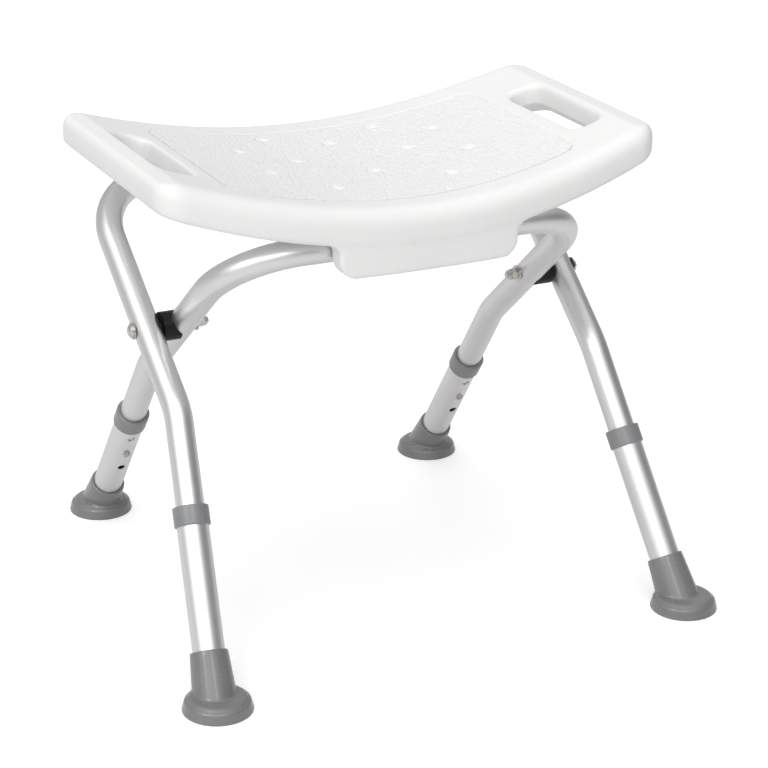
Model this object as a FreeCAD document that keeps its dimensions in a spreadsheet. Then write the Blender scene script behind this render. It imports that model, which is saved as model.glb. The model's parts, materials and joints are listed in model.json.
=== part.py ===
"""Folding shower stool: a blow-moulded seat on two crossed tube frames with height-adjustable legs.

The row frame has +Z up, +X along the seat's long side and -Y towards the front. Its origin lies on
the floor, midway between the outermost feet. Left means -X.
"""
import FreeCAD, Part
import math
import os
import re
import Sketcher
from FreeCAD import Matrix, Placement, Rotation, Vector

# ---------------------------------------------------------------------------------------------
# Driving dimensions, in millimetres and degrees. Slopes are millimetres sideways per millimetre
# down, and "along the leg" is measured up the leg's axis from the floor.
# ---------------------------------------------------------------------------------------------
DRIVING = {
    # frame tubes
    "upper_tube_od": 25.4,
    "upper_tube_wall": 1.4,
    "lower_tube_wall": 1.3,
    "tube_slip": 0.3,
    "pivot_height": 274.2,
    "outer_half_width": 213.35,
    "pivot_gap": 8.2,
    "outer_upper_slope": 1.3173,
    "outer_upper_splay": -0.0219,
    "outer_lower_slope": 0.6383,
    "outer_lower_splay": 0.1106,
    "outer_kink_drop": 54.1,
    "outer_bar_rise": 99.8,
    "outer_bar_bend": 62.5,
    "inner_upper_slope": 1.186,
    "inner_upper_splay": 0.0351,
    "inner_lower_slope": 0.7327,
    "inner_lower_splay": 0.021,
    "inner_kink_drop": 64.7,
    "inner_bar_rise": 91.8,
    "inner_bar_bend": 69.0,
    "kink_bend": 60.0,
    # lower legs
    "overlap_end": 98.0,
    "collar_base": 158.5,
    "collar_top": 176.3,
    "collar_wall": 1.85,
    "collar_lip": 2.0,
    "hole_height": 122.0,
    "hole_pitch": 25.4,
    "button_diameter": 6.6,
    "button_clearance": 0.3,
    "button_proud": 3.0,
    "clip_strip": 0.8,
    "clip_width": 8.0,
    "clip_reach": 30.0,
    "clip_tail": 5.0,
    "clip_fold": 3.4,
    "clip_side_gap": 1.1,
    "button_dome": 6.0,
    # feet
    "foot_radius": 31.5,
    "foot_rim": 7.4,
    "foot_rim_radius": 29.8,
    "foot_bevel": 2.2,
    "foot_bevel_radius": 25.5,
    "foot_neck_top": 48.3,
    "foot_neck_radius": 16.9,
    "foot_root_radius": 20.5,
    "foot_bore_base": 14.0,
    "foot_washer_thick": 1.5,
    "foot_recess_radius": 21.0,
    "foot_recess_depth": 1.2,
    "front_foot_shift": 4.5,
    "rear_foot_shift": 6.0,
    # pivots
    "bolt_diameter": 6.0,
    "running_clearance": 0.08,
    "bolt_head_radius": 6.6,
    "bolt_head_height": 4.4,
    "bolt_head_dome": 8.5,
    "bolt_tip": 2.2,
    "washer_radius": 8.0,
    "washer_thick": 1.2,
    "nut_across_corners": 11.5,
    "nut_height": 6.4,
    "nut_collar_height": 2.6,
    "nut_collar_radius": 4.7,
    "insert_radius": 4.1,
    "spacer_radius": 13.6,
    "spacer_wrap": 8.6,
    "face_gap": 0.2,
    # seat
    "seat_half_width": 243.3,
    "seat_half_depth": 134.7,
    "seat_bow": 23.8,
    "seat_centre": 10.3,
    "seat_end_rise": 49.9,
    "seat_end_ease": 3.7,
    "crown_overrun": 9.7,
    "seat_thickness": 33.0,
    "seat_wall": 3.0,
    "seat_hollow_inset": 4.25,
    "seat_corner": 22.0,
    "seat_top_round": 17.0,
    "seat_low_round": 4.0,
    "skin_over_bar": 16.7,
    "bar_clearance": 0.3,
    "bar_relief": 6.0,
    "skirt_half_width": 87.0,
    "skirt_depth": 24.7,
    "skirt_corner": 17.0,
    "skirt_blend": 11.0,
    "skirt_inset": 1.2,
    "slot_centre": 202.5,
    "slot_middle": 2.5,
    "slot_width": 33.0,
    "slot_length": 131.0,
    "slot_corner": 14.0,
    "dimple_radius": 6.6,
    "dimple_sink": 1.6,
    # seat hinge
    "hinge_offset": 112.0,
    "hinge_width": 22.0,
    "hinge_strap": 2.5,
    "hinge_tab": 26.0,
    "hinge_screw_offset": 20.6,
    "hinge_pad_lift": 2.0,
    "hinge_pad_margin": 1.0,
    "screw_diameter": 4.0,
    "screw_length": 11.0,
    "screw_head_radius": 3.6,
    "screw_head_height": 2.4,
    "screw_head_top": 2.5,
    "screw_tip_gap": 1.0,
    "close_clearance": 0.05,
}

# Dimples in the seat, as distances from the middle of the stool and from the pivot axis.
DIMPLE_ROWS = (
    (100.0, (-18.0, 54.0)),
    (57.0, (-69.0, 22.0, 101.0)),
    (0.0, (-25.5, 73.5)),
)

SIDES = {"left": -1, "right": 1}

doc = FreeCAD.newDocument("ShowerStool")
sheet = doc.addObject("Spreadsheet::Sheet", "Sizes")
for row, (alias, number) in enumerate(DRIVING.items(), start=1):
    sheet.set(f"A{row}", alias)
    sheet.set(f"B{row}", str(number))
    sheet.setAlias(f"B{row}", alias)
doc.recompute()


def size(alias):
    """Give the number in the sheet's cell with this alias."""
    return float(sheet.get(alias))


def bind(thing, **expressions):
    """Bind an object's properties to expressions of the sheet's cells."""
    for name, expression in expressions.items():
        thing.setExpression(name, expression)
    return thing


def cells(expression):
    """Prefix each alias in an expression with the sheet's name."""
    return re.sub(r"[a-z]\w*", lambda word: "Sizes." + word.group(), expression)


def measure(expression):
    """Work out an expression of the sheet's aliases in numbers."""
    return float(sheet.evalExpression(cells(expression)))


# ---------------------------------------------------------------------------------------------
# Lines of the frames
# ---------------------------------------------------------------------------------------------
TUBE_RADIUS = size("upper_tube_od") / 2
LOWER_BORE = TUBE_RADIUS + size("tube_slip")
LOWER_RADIUS = LOWER_BORE + size("lower_tube_wall")
INNER_HALF_WIDTH = size("outer_half_width") - size("upper_tube_od") - size("pivot_gap")


class FrameLine:
    """Centre line of one bent frame: a crossbar with a leg at each end, crossing at the pivot."""

    def __init__(self, name, half_width, foot_side, foot_shift):
        self.name = name
        self.half_width = half_width
        self.foot_side = foot_side
        self.foot_shift = foot_shift
        self.upper_slope = size(name + "_upper_slope")
        self.upper_splay = size(name + "_upper_splay")
        self.lower_slope = size(name + "_lower_slope")
        self.lower_splay = size(name + "_lower_splay")
        self.kink_drop = size(name + "_kink_drop")
        self.bar_rise = size(name + "_bar_rise")
        self.bar_bend = size(name + "_bar_bend")

    def pivot(self, side):
        """Point of the leg's centre line on the pivot axis."""
        return Vector(side * self.half_width, PIVOT_Y, size("pivot_height"))

    def upper(self, side, drop):
        """Point on the leg's upper line, a distance below the pivot."""
        along = Vector(side * self.upper_splay, self.foot_side * self.upper_slope, -1)
        return self.pivot(side) + along * drop

    def down(self, side):
        """Direction down the leg's lower line."""
        along = Vector(side * self.lower_splay, self.foot_side * self.lower_slope, -1)
        return along.normalize()

    def kink(self, side):
        """Corner between the upper and the lower line."""
        return self.upper(side, self.kink_drop)

    def floor(self, side):
        """Point where the leg's lower line meets the floor."""
        corner = self.kink(side)
        down = self.down(side)
        return corner + down * (corner.z / -down.z)

    def bar_corner(self, side):
        """Corner between the leg's upper line and the crossbar."""
        return self.upper(side, -self.bar_rise)

    def bar(self):
        """Middle of the crossbar."""
        corner = self.bar_corner(1)
        return Vector(0, corner.y, corner.z)


def foot_reach(name, shift):
    """Distance from the pivot axis to the outer rim of a frame's feet, towards the foot."""
    drop = size(name + "_kink_drop")
    rest = size("pivot_height") - drop
    axis = drop * size(name + "_upper_slope") + rest * size(name + "_lower_slope")
    return axis + shift + size("foot_radius")


# The pivot axis stands where the feet reach equally far to the front and to the rear.
FRONT_REACH = foot_reach("outer", size("front_foot_shift"))
REAR_REACH = foot_reach("inner", -size("rear_foot_shift"))
PIVOT_Y = (FRONT_REACH - REAR_REACH) / 2

OUTER = FrameLine("outer", size("outer_half_width"), -1, size("front_foot_shift"))
INNER = FrameLine("inner", INNER_HALF_WIDTH, 1, size("rear_foot_shift"))
LEGS = {
    "front_left": (OUTER, -1),
    "front_right": (OUTER, 1),
    "rear_left": (INNER, -1),
    "rear_right": (INNER, 1),
}


def leg_placement(frame, side, height=0.0):
    """Placement on a leg's axis: local Z runs up the leg, local -Y faces the other frame's legs."""
    up = frame.down(side) * -1
    facing = Vector(0, -frame.foot_side, 0)
    facing = (facing - up * facing.dot(up)).normalize()
    back = facing * -1
    across = back.cross(up)
    base = frame.floor(side) + up * height
    return Placement(Matrix(
        across.x, back.x, up.x, base.x,
        across.y, back.y, up.y, base.y,
        across.z, back.z, up.z, base.z,
        0, 0, 0, 1,
    ))


def along_x(start, side):
    """Placement that turns local Z to point outwards along X on one side."""
    return Placement(start, Rotation(Vector(0, 0, 1), Vector(side, 0, 0)))


# ---------------------------------------------------------------------------------------------
# Makers
# ---------------------------------------------------------------------------------------------
parts = []


def keep(thing, label, placement=None):
    """Name a finished sub-part, put it in its place and list it for export."""
    thing.Label = label
    if placement is not None:
        thing.Placement = placement
    parts.append(thing)
    return thing


def primitive(kind, placement=None, **expressions):
    """Make a Part primitive whose sizes are bound to the sheet."""
    thing = doc.addObject("Part::" + kind, kind)
    if placement is not None:
        thing.Placement = placement
    return bind(thing, **{name: cells(text) for name, text in expressions.items()})


def fuse(*things):
    """Join objects into one."""
    joined = doc.addObject("Part::MultiFuse", "Joined")
    joined.Shapes = list(things)
    return joined


def cut(base, *tools):
    """Cut one or more objects from a base."""
    for tool in tools:
        rest = doc.addObject("Part::Cut", "Rest")
        rest.Base = base
        rest.Tool = tool
        base = rest
    return base


def base_plane(body, role):
    """Give the body's own origin plane with this role."""
    return next(item for item in body.Origin.OriginFeatures if item.Role == role)


def new_sketch(body, role="XZ_Plane"):
    """Start a sketch on one of the body's origin planes."""
    sketch = body.newObject("Sketcher::SketchObject", "Sketch")
    sketch.AttachmentSupport = [(base_plane(body, role), "")]
    sketch.MapMode = "FlatFace"
    return sketch


def pin_to_origin(sketch, line, kind, expression):
    """Hold a line's start at a distance from the sketch's origin, bound to the sheet."""
    number = measure(expression)
    if kind == "DistanceX" and number == 0:
        sketch.addConstraint(Sketcher.Constraint("PointOnObject", line, 1, -2))
        return
    made = sketch.addConstraint(Sketcher.Constraint(kind, -1, 1, line, 1, number))
    sketch.setExpression(f"Constraints[{made}]", cells(expression))


def turned(outline):
    """Make a body by turning a closed outline about its axis.

    The outline is a list of (radius, height) pairs, each an expression of the sheet's aliases.
    """
    body = doc.addObject("PartDesign::Body", "Turned")
    sketch = new_sketch(body)
    numbers = [tuple(measure(text) for text in pair) for pair in outline]
    count = len(outline)
    for index in range(count):
        start = Vector(*numbers[index], 0)
        end = Vector(*numbers[(index + 1) % count], 0)
        sketch.addGeometry(Part.LineSegment(start, end), False)
    for index in range(count):
        sketch.addConstraint(Sketcher.Constraint("Coincident", index, 2, (index + 1) % count, 1))
    for index, (radius, height) in enumerate(outline):
        pin_to_origin(sketch, index, "DistanceX", radius)
        pin_to_origin(sketch, index, "DistanceY", height)
    turn = body.newObject("PartDesign::Revolution", "Turn")
    turn.Profile = sketch
    turn.ReferenceAxis = (sketch, ["V_Axis"])
    turn.Angle = 360
    sketch.Visibility = False
    return body


def solid_of(shape):
    """Give the one solid in a shape, with its split faces joined."""
    solids = shape.removeSplitter().Solids
    if len(solids) != 1:
        raise RuntimeError(f"expected one solid, found {len(solids)}")
    return solids[0]


def feature(label, shape):
    """Keep a shape made with Part's own functions as a sub-part."""
    thing = doc.addObject("Part::Feature", label)
    thing.Shape = shape
    return keep(thing, label, Placement())


def rod(start, direction, radius, length):
    """Give a solid rod from a point along a direction."""
    return Part.makeCylinder(radius, length, start, direction)


def corner_arc(before, corner, after, radius):
    """Give the arc edge that rounds a corner, with its start and end."""
    to_before = (before - corner).normalize()
    to_after = (after - corner).normalize()
    half = to_before.getAngle(to_after) / 2
    middle_line = (to_before + to_after).normalize()
    reach = radius / math.tan(half)
    start = corner + to_before * reach
    end = corner + to_after * reach
    middle = corner + middle_line * (radius / math.sin(half) - radius)
    return Part.Arc(start, middle, end).toShape(), start, end


def pipe(points, bends, radius):
    """Give a solid round bar along straight runs joined by tangent arcs."""
    edges = []
    last = points[0]
    for index, bend in enumerate(bends, start=1):
        arc, start, end = corner_arc(points[index - 1], points[index], points[index + 1], bend)
        edges.append(Part.LineSegment(last, start).toShape())
        edges.append(arc)
        last = end
    edges.append(Part.LineSegment(last, points[-1]).toShape())
    path = Part.Wire(edges)
    heading = (points[1] - points[0]).normalize()
    section = Part.Wire([Part.Circle(points[0], heading, radius).toShape()])
    bar = path.makePipeShell([section], True, True)
    expected = math.pi * radius ** 2 * path.Length
    if abs(bar.Volume - expected) > expected / 500:
        raise RuntimeError(f"pipe volume {bar.Volume:.0f} is not {expected:.0f}")
    return bar


# ---------------------------------------------------------------------------------------------
# Frame tubes
# ---------------------------------------------------------------------------------------------
def frame_tube(frame):
    """Bend one frame's tube, with its pivot holes and the holes of its snap buttons."""
    ends = {side: frame.floor(side) - frame.down(side) * size("overlap_end") for side in (-1, 1)}
    corners = [frame.kink(-1), frame.bar_corner(-1), frame.bar_corner(1), frame.kink(1)]
    bends = [size("kink_bend"), frame.bar_bend, frame.bar_bend, size("kink_bend")]
    bore = TUBE_RADIUS - size("upper_tube_wall")
    beyond = {side: ends[side] + frame.down(side) * bore for side in (-1, 1)}
    tube = pipe([ends[-1], *corners, ends[1]], bends, TUBE_RADIUS)
    tube = tube.cut(pipe([beyond[-1], *corners, beyond[1]], bends, bore))
    bolt_hole = size("bolt_diameter") / 2 + size("running_clearance")
    button_hole = size("button_diameter") / 2 + size("button_clearance")
    for side in (-1, 1):
        start = frame.pivot(side) - Vector(2 * TUBE_RADIUS, 0, 0)
        tube = tube.cut(rod(start, Vector(1, 0, 0), bolt_hole, 4 * TUBE_RADIUS))
        place = leg_placement(frame, side, size("hole_height"))
        facing = place.Rotation.multVec(Vector(0, -1, 0))
        tube = tube.cut(rod(place.Base, facing, button_hole, 2 * TUBE_RADIUS))
    return solid_of(tube)


for frame_line in (OUTER, INNER):
    feature(frame_line.name + "_frame_tube", frame_tube(frame_line))


# ---------------------------------------------------------------------------------------------
# Telescoping legs
# ---------------------------------------------------------------------------------------------
LEG_BORE = "upper_tube_od / 2 + tube_slip"
LEG_SKIN = LEG_BORE + " + lower_tube_wall"
BUTTON_HOLE = "button_diameter / 2 + button_clearance"


def leg_tube():
    """Make the lower tube of a leg, with three height holes in a row."""
    body = turned([
        (LEG_BORE, "foot_bore_base + foot_washer_thick"),
        (LEG_SKIN, "foot_bore_base + foot_washer_thick"),
        (LEG_SKIN, "collar_top - collar_lip"),
        (LEG_BORE, "collar_top - collar_lip"),
    ])
    sketch = new_sketch(body)
    lowest = size("hole_height") - size("hole_pitch")
    sketch.addGeometry(Part.Circle(Vector(0, lowest, 0), Vector(0, 0, 1), measure(BUTTON_HOLE)), False)
    sketch.addConstraint(Sketcher.Constraint("PointOnObject", 0, 3, -2))
    sketch.addConstraint(Sketcher.Constraint("DistanceY", -1, 1, 0, 3, lowest))
    sketch.addConstraint(Sketcher.Constraint("Radius", 0, measure(BUTTON_HOLE)))
    sketch.setExpression("Constraints[1]", cells("hole_height - hole_pitch"))
    sketch.setExpression("Constraints[2]", cells(BUTTON_HOLE))
    doc.recompute()
    whole = body.Shape.Volume
    hole = body.newObject("PartDesign::Pocket", "Hole")
    hole.Profile = sketch
    hole.Type = 0
    bind(hole, Length=cells("upper_tube_od"))
    hole.Reversed = True
    doc.recompute()
    row = body.newObject("PartDesign::LinearPattern", "HoleRow")
    row.Originals = [hole]
    row.Direction = (sketch, ["V_Axis"])
    row.Occurrences = 3
    bind(row, Length=cells("2 * hole_pitch"))
    body.Tip = row
    sketch.Visibility = False
    doc.recompute()
    drilled = 3 * math.pi * measure(BUTTON_HOLE) ** 2 * size("lower_tube_wall")
    taken = (whole - body.Shape.Volume) / drilled
    if not 0.9 < taken < 1.2:
        raise RuntimeError(f"the height holes took {taken:.2f} of their volume")
    skin = Vector(0, size("lower_tube_wall") / 2 - LOWER_RADIUS, size("hole_height"))
    if body.Shape.isInside(skin, 0.01, True):
        raise RuntimeError("the height holes are on the wrong side")
    return body


def collar():
    """Make the collar that caps a lower tube and guides the upper one."""
    body = turned([
        (LEG_SKIN + " + close_clearance", "collar_base"),
        (LEG_SKIN + " + collar_wall", "collar_base"),
        (LEG_SKIN + " + collar_wall", "collar_top"),
        (LEG_BORE, "collar_top"),
        (LEG_BORE, "collar_top - collar_lip"),
        (LEG_SKIN + " + close_clearance", "collar_top - collar_lip"),
    ])
    doc.recompute()
    return rounded(body, measure(LEG_SKIN + " + collar_wall"), "collar_wall / 2")


def rounded(body, ring_radius, expression):
    """Fillet a turned body's circular edges of one radius."""
    form = body.Tip
    names = []
    for index, edge in enumerate(body.Shape.Edges, start=1):
        if isinstance(edge.Curve, Part.Circle) and abs(edge.Curve.Radius - ring_radius) < 0.01:
            names.append(f"Edge{index}")
    fillet = body.newObject("PartDesign::Fillet", "Round")
    fillet.Base = (form, names)
    bind(fillet, Radius=cells(expression))
    body.Tip = fillet
    return body


def foot(frame, side, label):
    """Make a rubber foot: a tilted neck on a flat round base, with a blind bore for the tube."""
    base = foot_base(frame, side)
    leg = leg_placement(frame, side)
    leg.Base = leg.Base - base
    rim = primitive(
        "Cone", None, Radius1="foot_radius", Radius2="foot_rim_radius", Height="foot_rim",
    )
    bevel = primitive(
        "Cone", Placement(Vector(0, 0, size("foot_rim")), Rotation()),
        Radius1="foot_rim_radius", Radius2="foot_bevel_radius", Height="foot_bevel",
    )
    neck = primitive(
        "Cone", leg, Radius1="foot_root_radius", Radius2="foot_neck_radius", Height="foot_neck_top",
    )
    width = 4 * size("foot_radius")
    ground = primitive(
        "Box", Placement(Vector(-width / 2, -width / 2, -width), Rotation()),
        Length="4 * foot_radius", Width="4 * foot_radius", Height="4 * foot_radius + foot_rim / 2",
    )
    bore = primitive(
        "Cylinder", leg.multiply(Placement(Vector(0, 0, size("foot_bore_base")), Rotation())),
        Radius=LEG_SKIN + " + close_clearance", Height="foot_neck_top",
    )
    recess = primitive("Cylinder", None, Radius="foot_recess_radius", Height="foot_recess_depth")
    whole = cut(fuse(cut(neck, ground), rim, bevel), bore, recess)
    return keep(whole, label, Placement(base, Rotation()))


def foot_base(frame, side):
    """Middle of a foot's round base, on the floor."""
    return frame.floor(side) - Vector(0, frame.foot_shift, 0)


def snap_button():
    """Give a snap button: a domed pin on one arm of a folded spring strip.

    In its local frame the pin points along -Y, at the height of its middle hole.
    """
    far_side = TUBE_RADIUS - size("upper_tube_wall") - size("clip_side_gap")
    strip = size("clip_strip")

    def half_line(inset):
        """Give the strip's outline on the pin's side, from its tail to the fold."""
        return [
            Vector(0, inset - far_side, -size("clip_tail")),
            Vector(0, inset - far_side, size("clip_tail")),
            Vector(0, inset - size("clip_fold"), size("clip_reach")),
        ]

    edges = []
    tails = []
    for inset in (0, strip):
        pin_arm = half_line(inset)
        rest_arm = [Vector(0, -point.y, point.z) for point in pin_arm]
        crown = Vector(0, 0, size("clip_reach") + size("clip_fold") - inset)
        edges.append(Part.Arc(pin_arm[-1], crown, rest_arm[-1]).toShape())
        for arm in (pin_arm, rest_arm):
            edges.extend(Part.LineSegment(*pair).toShape() for pair in zip(arm, arm[1:]))
        tails.append((pin_arm[0], rest_arm[0]))
    edges.extend(Part.LineSegment(*pair).toShape() for pair in zip(*tails))
    section = Part.Face(Part.Wire(Part.__sortEdges__(edges)))
    spring = section.extrude(Vector(size("clip_width"), 0, 0))
    spring.translate(Vector(-size("clip_width") / 2, 0, 0))
    tip = LOWER_RADIUS + size("button_proud")
    start = Vector(0, strip / 2 - far_side, 0)
    pin = rod(start, Vector(0, -1, 0), size("button_diameter") / 2, tip + start.y)
    dome = Part.makeSphere(size("button_dome"), Vector(0, size("button_dome") - tip, 0))
    root = rod(start, Vector(0, -1, 0), size("button_diameter"), TUBE_RADIUS + start.y)
    return solid_of(spring.fuse(pin.common(dome.fuse(root))))


for leg_name, (frame_line, leg_side) in LEGS.items():
    on_leg = leg_placement(frame_line, leg_side)
    keep(leg_tube(), leg_name + "_leg_tube", on_leg)
    keep(collar(), leg_name + "_leg_collar", on_leg)
    foot(frame_line, leg_side, leg_name + "_foot")
    pad = primitive(
        "Cylinder", None, Radius=LEG_SKIN + " - face_gap / 2", Height="foot_washer_thick",
    )
    keep(pad, leg_name + "_foot_washer", leg_placement(frame_line, leg_side, size("foot_bore_base")))
    button = feature(leg_name + "_snap_button", snap_button())
    button.Placement = leg_placement(frame_line, leg_side, size("hole_height"))


# ---------------------------------------------------------------------------------------------
# Pivot hardware, from the outside inwards along the pivot axis
# ---------------------------------------------------------------------------------------------
def pivot_hardware(label, side):
    """Make one pivot's bolt, washers, locking nut and spacer."""
    outside = OUTER.half_width + TUBE_RADIUS + size("face_gap")
    inside = INNER_HALF_WIDTH - TUBE_RADIUS - size("face_gap")
    shank = "bolt_diameter / 2"
    length = outside + size("washer_thick") - inside + size("washer_thick")
    length += size("nut_height") + size("nut_collar_height") + size("bolt_tip")
    axis = Vector(0, PIVOT_Y, size("pivot_height"))

    def at(distance, facing=1):
        return along_x(axis + Vector(side * distance, 0, 0), side * facing)

    grip = primitive("Cylinder", None, Radius=shank)
    grip.Height = length
    head = primitive(
        "Cylinder", Placement(Vector(0, 0, length), Rotation()),
        Radius="bolt_head_radius", Height="bolt_head_height",
    )
    dome = primitive("Sphere", None, Radius="bolt_head_dome")
    dome.Placement.Base = Vector(0, 0, length + size("bolt_head_height") - size("bolt_head_dome"))
    head_form = doc.addObject("Part::Common", "HeadForm")
    head_form.Base = head
    head_form.Tool = dome
    keep(fuse(grip, head_form), "pivot_bolt_" + label, at(outside + size("washer_thick") - length))

    hole = "bolt_diameter / 2 + close_clearance"
    for name, distance in (("head_washer_", outside), ("nut_washer_", inside - size("washer_thick"))):
        washer = turned([
            (hole, "0"),
            ("washer_radius", "0"),
            ("washer_radius", "washer_thick"),
            (hole, "washer_thick"),
        ])
        keep(washer, name + label, at(distance))

    prism = primitive("Prism", None, Circumradius="nut_across_corners / 2", Height="nut_height")
    prism.Polygon = 6
    crown = primitive(
        "Cylinder", Placement(Vector(0, 0, size("nut_height")), Rotation()),
        Radius="nut_collar_radius", Height="nut_collar_height",
    )
    thread = primitive("Cylinder", None, Radius=hole, Height="nut_height + nut_collar_height")
    seat_hole = primitive(
        "Cylinder", Placement(Vector(0, 0, size("nut_height")), Rotation()),
        Radius="insert_radius", Height="nut_collar_height",
    )
    nut = cut(fuse(prism, crown), thread, seat_hole)
    keep(nut, "pivot_nut_" + label, at(inside - size("washer_thick"), -1))
    ring = turned([
        (hole, "0"),
        ("insert_radius", "0"),
        ("insert_radius", "nut_collar_height"),
        (hole, "nut_collar_height"),
    ])
    keep(ring, "nut_insert_" + label, at(inside - size("washer_thick") - size("nut_height"), -1))

    face = INNER_HALF_WIDTH + TUBE_RADIUS + size("pivot_gap") - size("face_gap")
    root = face - size("pivot_gap") - size("spacer_wrap")
    block = primitive("Cylinder", None, Radius="spacer_radius", Height="pivot_gap + spacer_wrap")
    pin_hole = primitive(
        "Cylinder", None, Radius="bolt_diameter / 2 + running_clearance", Height="pivot_gap + spacer_wrap",
    )
    leg_line = INNER.upper(side, 1) - INNER.upper(side, 0)
    centre = Vector(0, 0, INNER_HALF_WIDTH - root)
    turn = at(0).Rotation.inverted()
    rise = turn.multVec(leg_line).normalize()
    saddle = primitive(
        "Cylinder", None, Radius="upper_tube_od / 2 + close_clearance", Height="6 * spacer_radius",
    )
    middle = centre - rise * (3 * size("spacer_radius"))
    saddle.Placement = Placement(middle, Rotation(Vector(0, 0, 1), rise))
    keep(cut(block, pin_hole, saddle), "pivot_spacer_" + label, at(root))


for side_label, side_sign in SIDES.items():
    pivot_hardware(side_label, side_sign)


# ---------------------------------------------------------------------------------------------
# Seat
# ---------------------------------------------------------------------------------------------
SEAT_Y = PIVOT_Y + size("seat_centre")
SEAT_Z = OUTER.bar().z + TUBE_RADIUS + size("bar_clearance") + size("skin_over_bar")


def crown_height(x, lift=0.0):
    """Height of the seat's top at a distance from its middle, with a lift."""
    share = (x / size("seat_half_width")) ** 2
    return SEAT_Z + size("seat_end_rise") * share - size("seat_end_ease") * share ** 2 + lift


def crown_curve(lift):
    """Curve of the seat's top from end to end, lifted, with its two ends."""
    reach = size("seat_half_width") + size("crown_overrun")
    places = [reach * step / 6 for step in range(-6, 7)]
    curve = Part.BSplineCurve()
    curve.interpolate([Vector(x, 0, crown_height(x, lift)) for x in places])
    return curve.toShape(), curve.StartPoint, curve.EndPoint


def seat_slab(low, high):
    """Give the layer between two lifts of the crown, endlessly deep."""
    top, top_start, top_end = crown_curve(high)
    bottom, bottom_start, bottom_end = crown_curve(low)
    ends = [
        Part.LineSegment(top_end, bottom_end).toShape(),
        Part.LineSegment(bottom_start, top_start).toShape(),
    ]
    section = Part.Face(Part.Wire(Part.__sortEdges__([top, bottom, *ends])))
    depth = 4 * size("seat_half_depth")
    slab = section.extrude(Vector(0, depth, 0))
    slab.translate(Vector(0, SEAT_Y - depth / 2, 0))
    return slab


def seat_plan(inset):
    """Give the upright prism of the seat's outline: straight ends, bowed front and rear."""
    half_x = size("seat_half_width") - inset
    half_y = size("seat_half_depth") - inset
    bowed = half_y + size("seat_bow")
    turns = ((-1, -1), (1, -1), (1, 1), (-1, 1))
    corners = [Vector(x * half_x, y * half_y, 0) for x, y in turns]
    edges = [
        Part.Arc(corners[0], Vector(0, -bowed, 0), corners[1]).toShape(),
        Part.LineSegment(corners[1], corners[2]).toShape(),
        Part.Arc(corners[2], Vector(0, bowed, 0), corners[3]).toShape(),
        Part.LineSegment(corners[3], corners[0]).toShape(),
    ]
    height = 2 * SEAT_Z
    prism = Part.Face(Part.Wire(edges)).extrude(Vector(0, 0, height))
    upright = [edge for edge in prism.Edges if abs(edge.Length - height) < 0.01]
    prism = prism.makeFillet(size("seat_corner") - inset, upright)
    prism.translate(Vector(0, SEAT_Y, 0))
    return prism


def seat_skirt(inset):
    """Give the prism of the skirts' outline: round lower corners, blended into the seat above."""
    half = size("skirt_half_width") - inset
    low = SEAT_Z - size("seat_thickness") - size("skirt_depth") + inset
    corner = size("skirt_corner") - inset
    blend = size("skirt_blend") + inset
    root = crown_height(half + blend, inset - size("seat_thickness"))
    lean = math.sqrt(0.5)
    outline = [
        Vector(-half - blend, 0, root),
        Vector(-half - blend + blend * lean, 0, root - blend + blend * lean),
        Vector(-half, 0, root - blend),
        Vector(-half, 0, low + corner),
        Vector(-half + corner - corner * lean, 0, low + corner - corner * lean),
        Vector(-half + corner, 0, low),
    ]
    mirrored = [Vector(-point.x, 0, point.z) for point in reversed(outline)]
    top = root + size("seat_thickness") / 4
    edges = []
    for line in (outline, mirrored):
        edges.append(Part.Arc(*line[0:3]).toShape())
        edges.append(Part.LineSegment(line[2], line[3]).toShape())
        edges.append(Part.Arc(*line[3:6]).toShape())
    edges.append(Part.LineSegment(outline[-1], mirrored[0]).toShape())
    over = [outline[0], Vector(-half - blend, 0, top), Vector(half + blend, 0, top), mirrored[-1]]
    edges.extend(Part.LineSegment(*pair).toShape() for pair in zip(over, over[1:]))
    section = Part.Face(Part.Wire(Part.__sortEdges__(edges)))
    depth = 4 * size("seat_half_depth")
    prism = section.extrude(Vector(0, depth, 0))
    prism.translate(Vector(0, SEAT_Y - depth / 2, 0))
    return prism


def block(low, high):
    """Give an upright box between two corners."""
    return Part.makeBox(high.x - low.x, high.y - low.y, high.z - low.z, low)


def bar_channels(grow):
    """Give the room of both crossbars under the seat, grown by a wall.

    The rear channel is round over the hinge. The front one is open to the rear as well, so that the
    seat can swing up off the bar.
    """
    radius = TUBE_RADIUS + size("bar_clearance") + grow
    reach = size("outer_half_width")
    deep = size("skirt_depth") + size("seat_thickness")
    room = []
    for frame, relief in ((OUTER, 0), (INNER, size("bar_relief"))):
        bar = frame.bar()
        room.append(rod(bar - Vector(reach, 0, 0), Vector(1, 0, 0), radius, 2 * reach))
        low = Vector(-reach, bar.y - radius, bar.z - deep - radius)
        room.append(block(low, Vector(reach, bar.y + radius, bar.z)))
        if relief:
            room.append(block(low, Vector(reach, bar.y + radius + relief, bar.z + radius - relief)))
    return room


def between_bars():
    """Give the space under the seat between the skirts, where nothing hangs down."""
    reach = size("outer_half_width")
    low = Vector(-reach, INNER.bar().y, 0)
    return block(low, Vector(reach, OUTER.bar().y, SEAT_Z))


def handle_slots(grow):
    """Give the two hand slots, grown by a wall."""
    half_x = size("slot_width") / 2 + grow
    half_y = size("slot_length") / 2 + grow
    slots = []
    for side in (-1, 1):
        centre = Vector(side * size("slot_centre"), PIVOT_Y + size("slot_middle"), 0)
        corner = centre - Vector(half_x, half_y, 0)
        slot = Part.makeBox(2 * half_x, 2 * half_y, 2 * SEAT_Z, corner)
        upright = [edge for edge in slot.Edges if abs(edge.Length - 2 * SEAT_Z) < 0.01]
        slots.append(slot.makeFillet(size("slot_corner") + grow, upright))
    return slots


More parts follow.
